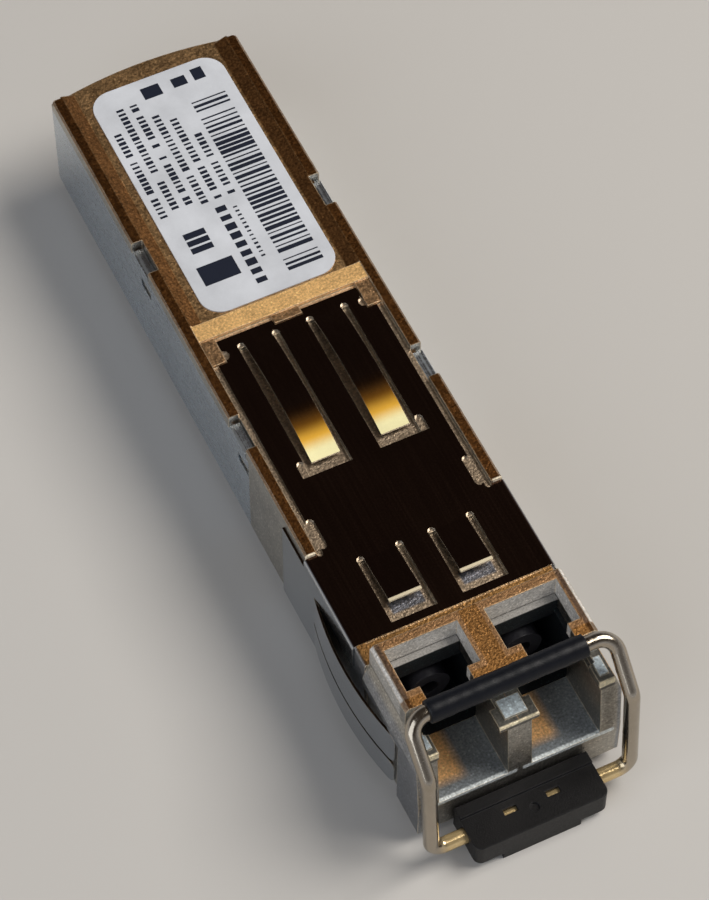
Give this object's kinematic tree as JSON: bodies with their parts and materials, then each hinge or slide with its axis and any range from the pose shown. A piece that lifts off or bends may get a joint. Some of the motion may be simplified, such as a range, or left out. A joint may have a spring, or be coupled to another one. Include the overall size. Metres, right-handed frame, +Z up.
{
  "type": "optical transceiver",
  "caption": "Pluggable optical transceiver: cast body with two fibre ports in its nose, folded spring shield, label recess, and a wire bail that pulls a delatch slider.",
  "frame": {"origin": "middle of the part's bounding box at the level of its lowest point, the grip's lip", "axes": "+X to the right seen from the port end, +Y along the body away from the ports, +Z up; the label and the shield's tongues are on top"},
  "size_m": [0.015, 0.059, 0.0127],
  "materials": {
    "cast_body": "satin cast metal with a warm reflection",
    "folded_cover": "satin",
    "spring_sheet": "polished",
    "label_paper": "matte",
    "black_moulding": "matte",
    "barrel_moulding": "satin",
    "gold_plate": "polished",
    "flex_film": "satin",
    "stamped_steel": "satin",
    "board_green": "satin",
    "chip_black": "matte",
    "heat_pad_grey": "matte",
    "ceramic_tan": "matte",
    "inductor_grey": "matte",
    "slider_moulding": "satin black",
    "bright_wire": "polished",
    "tube_rubber": "matte black"
  },
  "bodies": {
    "module": {"housing": "cast_body", "bottom_cover": "folded_cover", "emi_shield": "spring_sheet", "label": "label_paper", "port_insert": "black_moulding", "transmitter_barrel": "barrel_moulding", "receiver_barrel": "barrel_moulding", "transmitter_can": "gold_plate", "receiver_can": "gold_plate", "transmitter_flex": "flex_film", "receiver_flex": "flex_film", "barrel_shield": "stamped_steel", "barrel_clip": "stamped_steel", "circuit_board": "board_green", "edge_contacts": "gold_plate", "laser_driver": "chip_black", "receiver_amplifier": "chip_black", "controller_chip": "chip_black", "memory_chip": "chip_black", "heat_pad": "heat_pad_grey", "capacitors": "ceramic_tan", "resistors": "chip_black", "inductors": "inductor_grey"},
    "slider": {"delatch_slider": "slider_moulding"},
    "bail": {"bail_wire": "bright_wire", "bail_tube": "tube_rubber"}
  },
  "joints": [
    {"name": "slider_slide", "type": "slide", "parent": "module", "child": "slider", "axis": [0, -1, 0], "range_m": [0, 0.0012]},
    {"name": "bail_hinge", "type": "hinge", "parent": "slider", "child": "bail", "pos_m": [0, -0.0279, 0.0017], "axis": [1, 0, 0], "range_deg": [0, 90]}
  ],
  "couplings": [
    {"joint": "bail_hinge", "follows": "slider_slide", "rad_per_m": 1308.9}
  ]
}
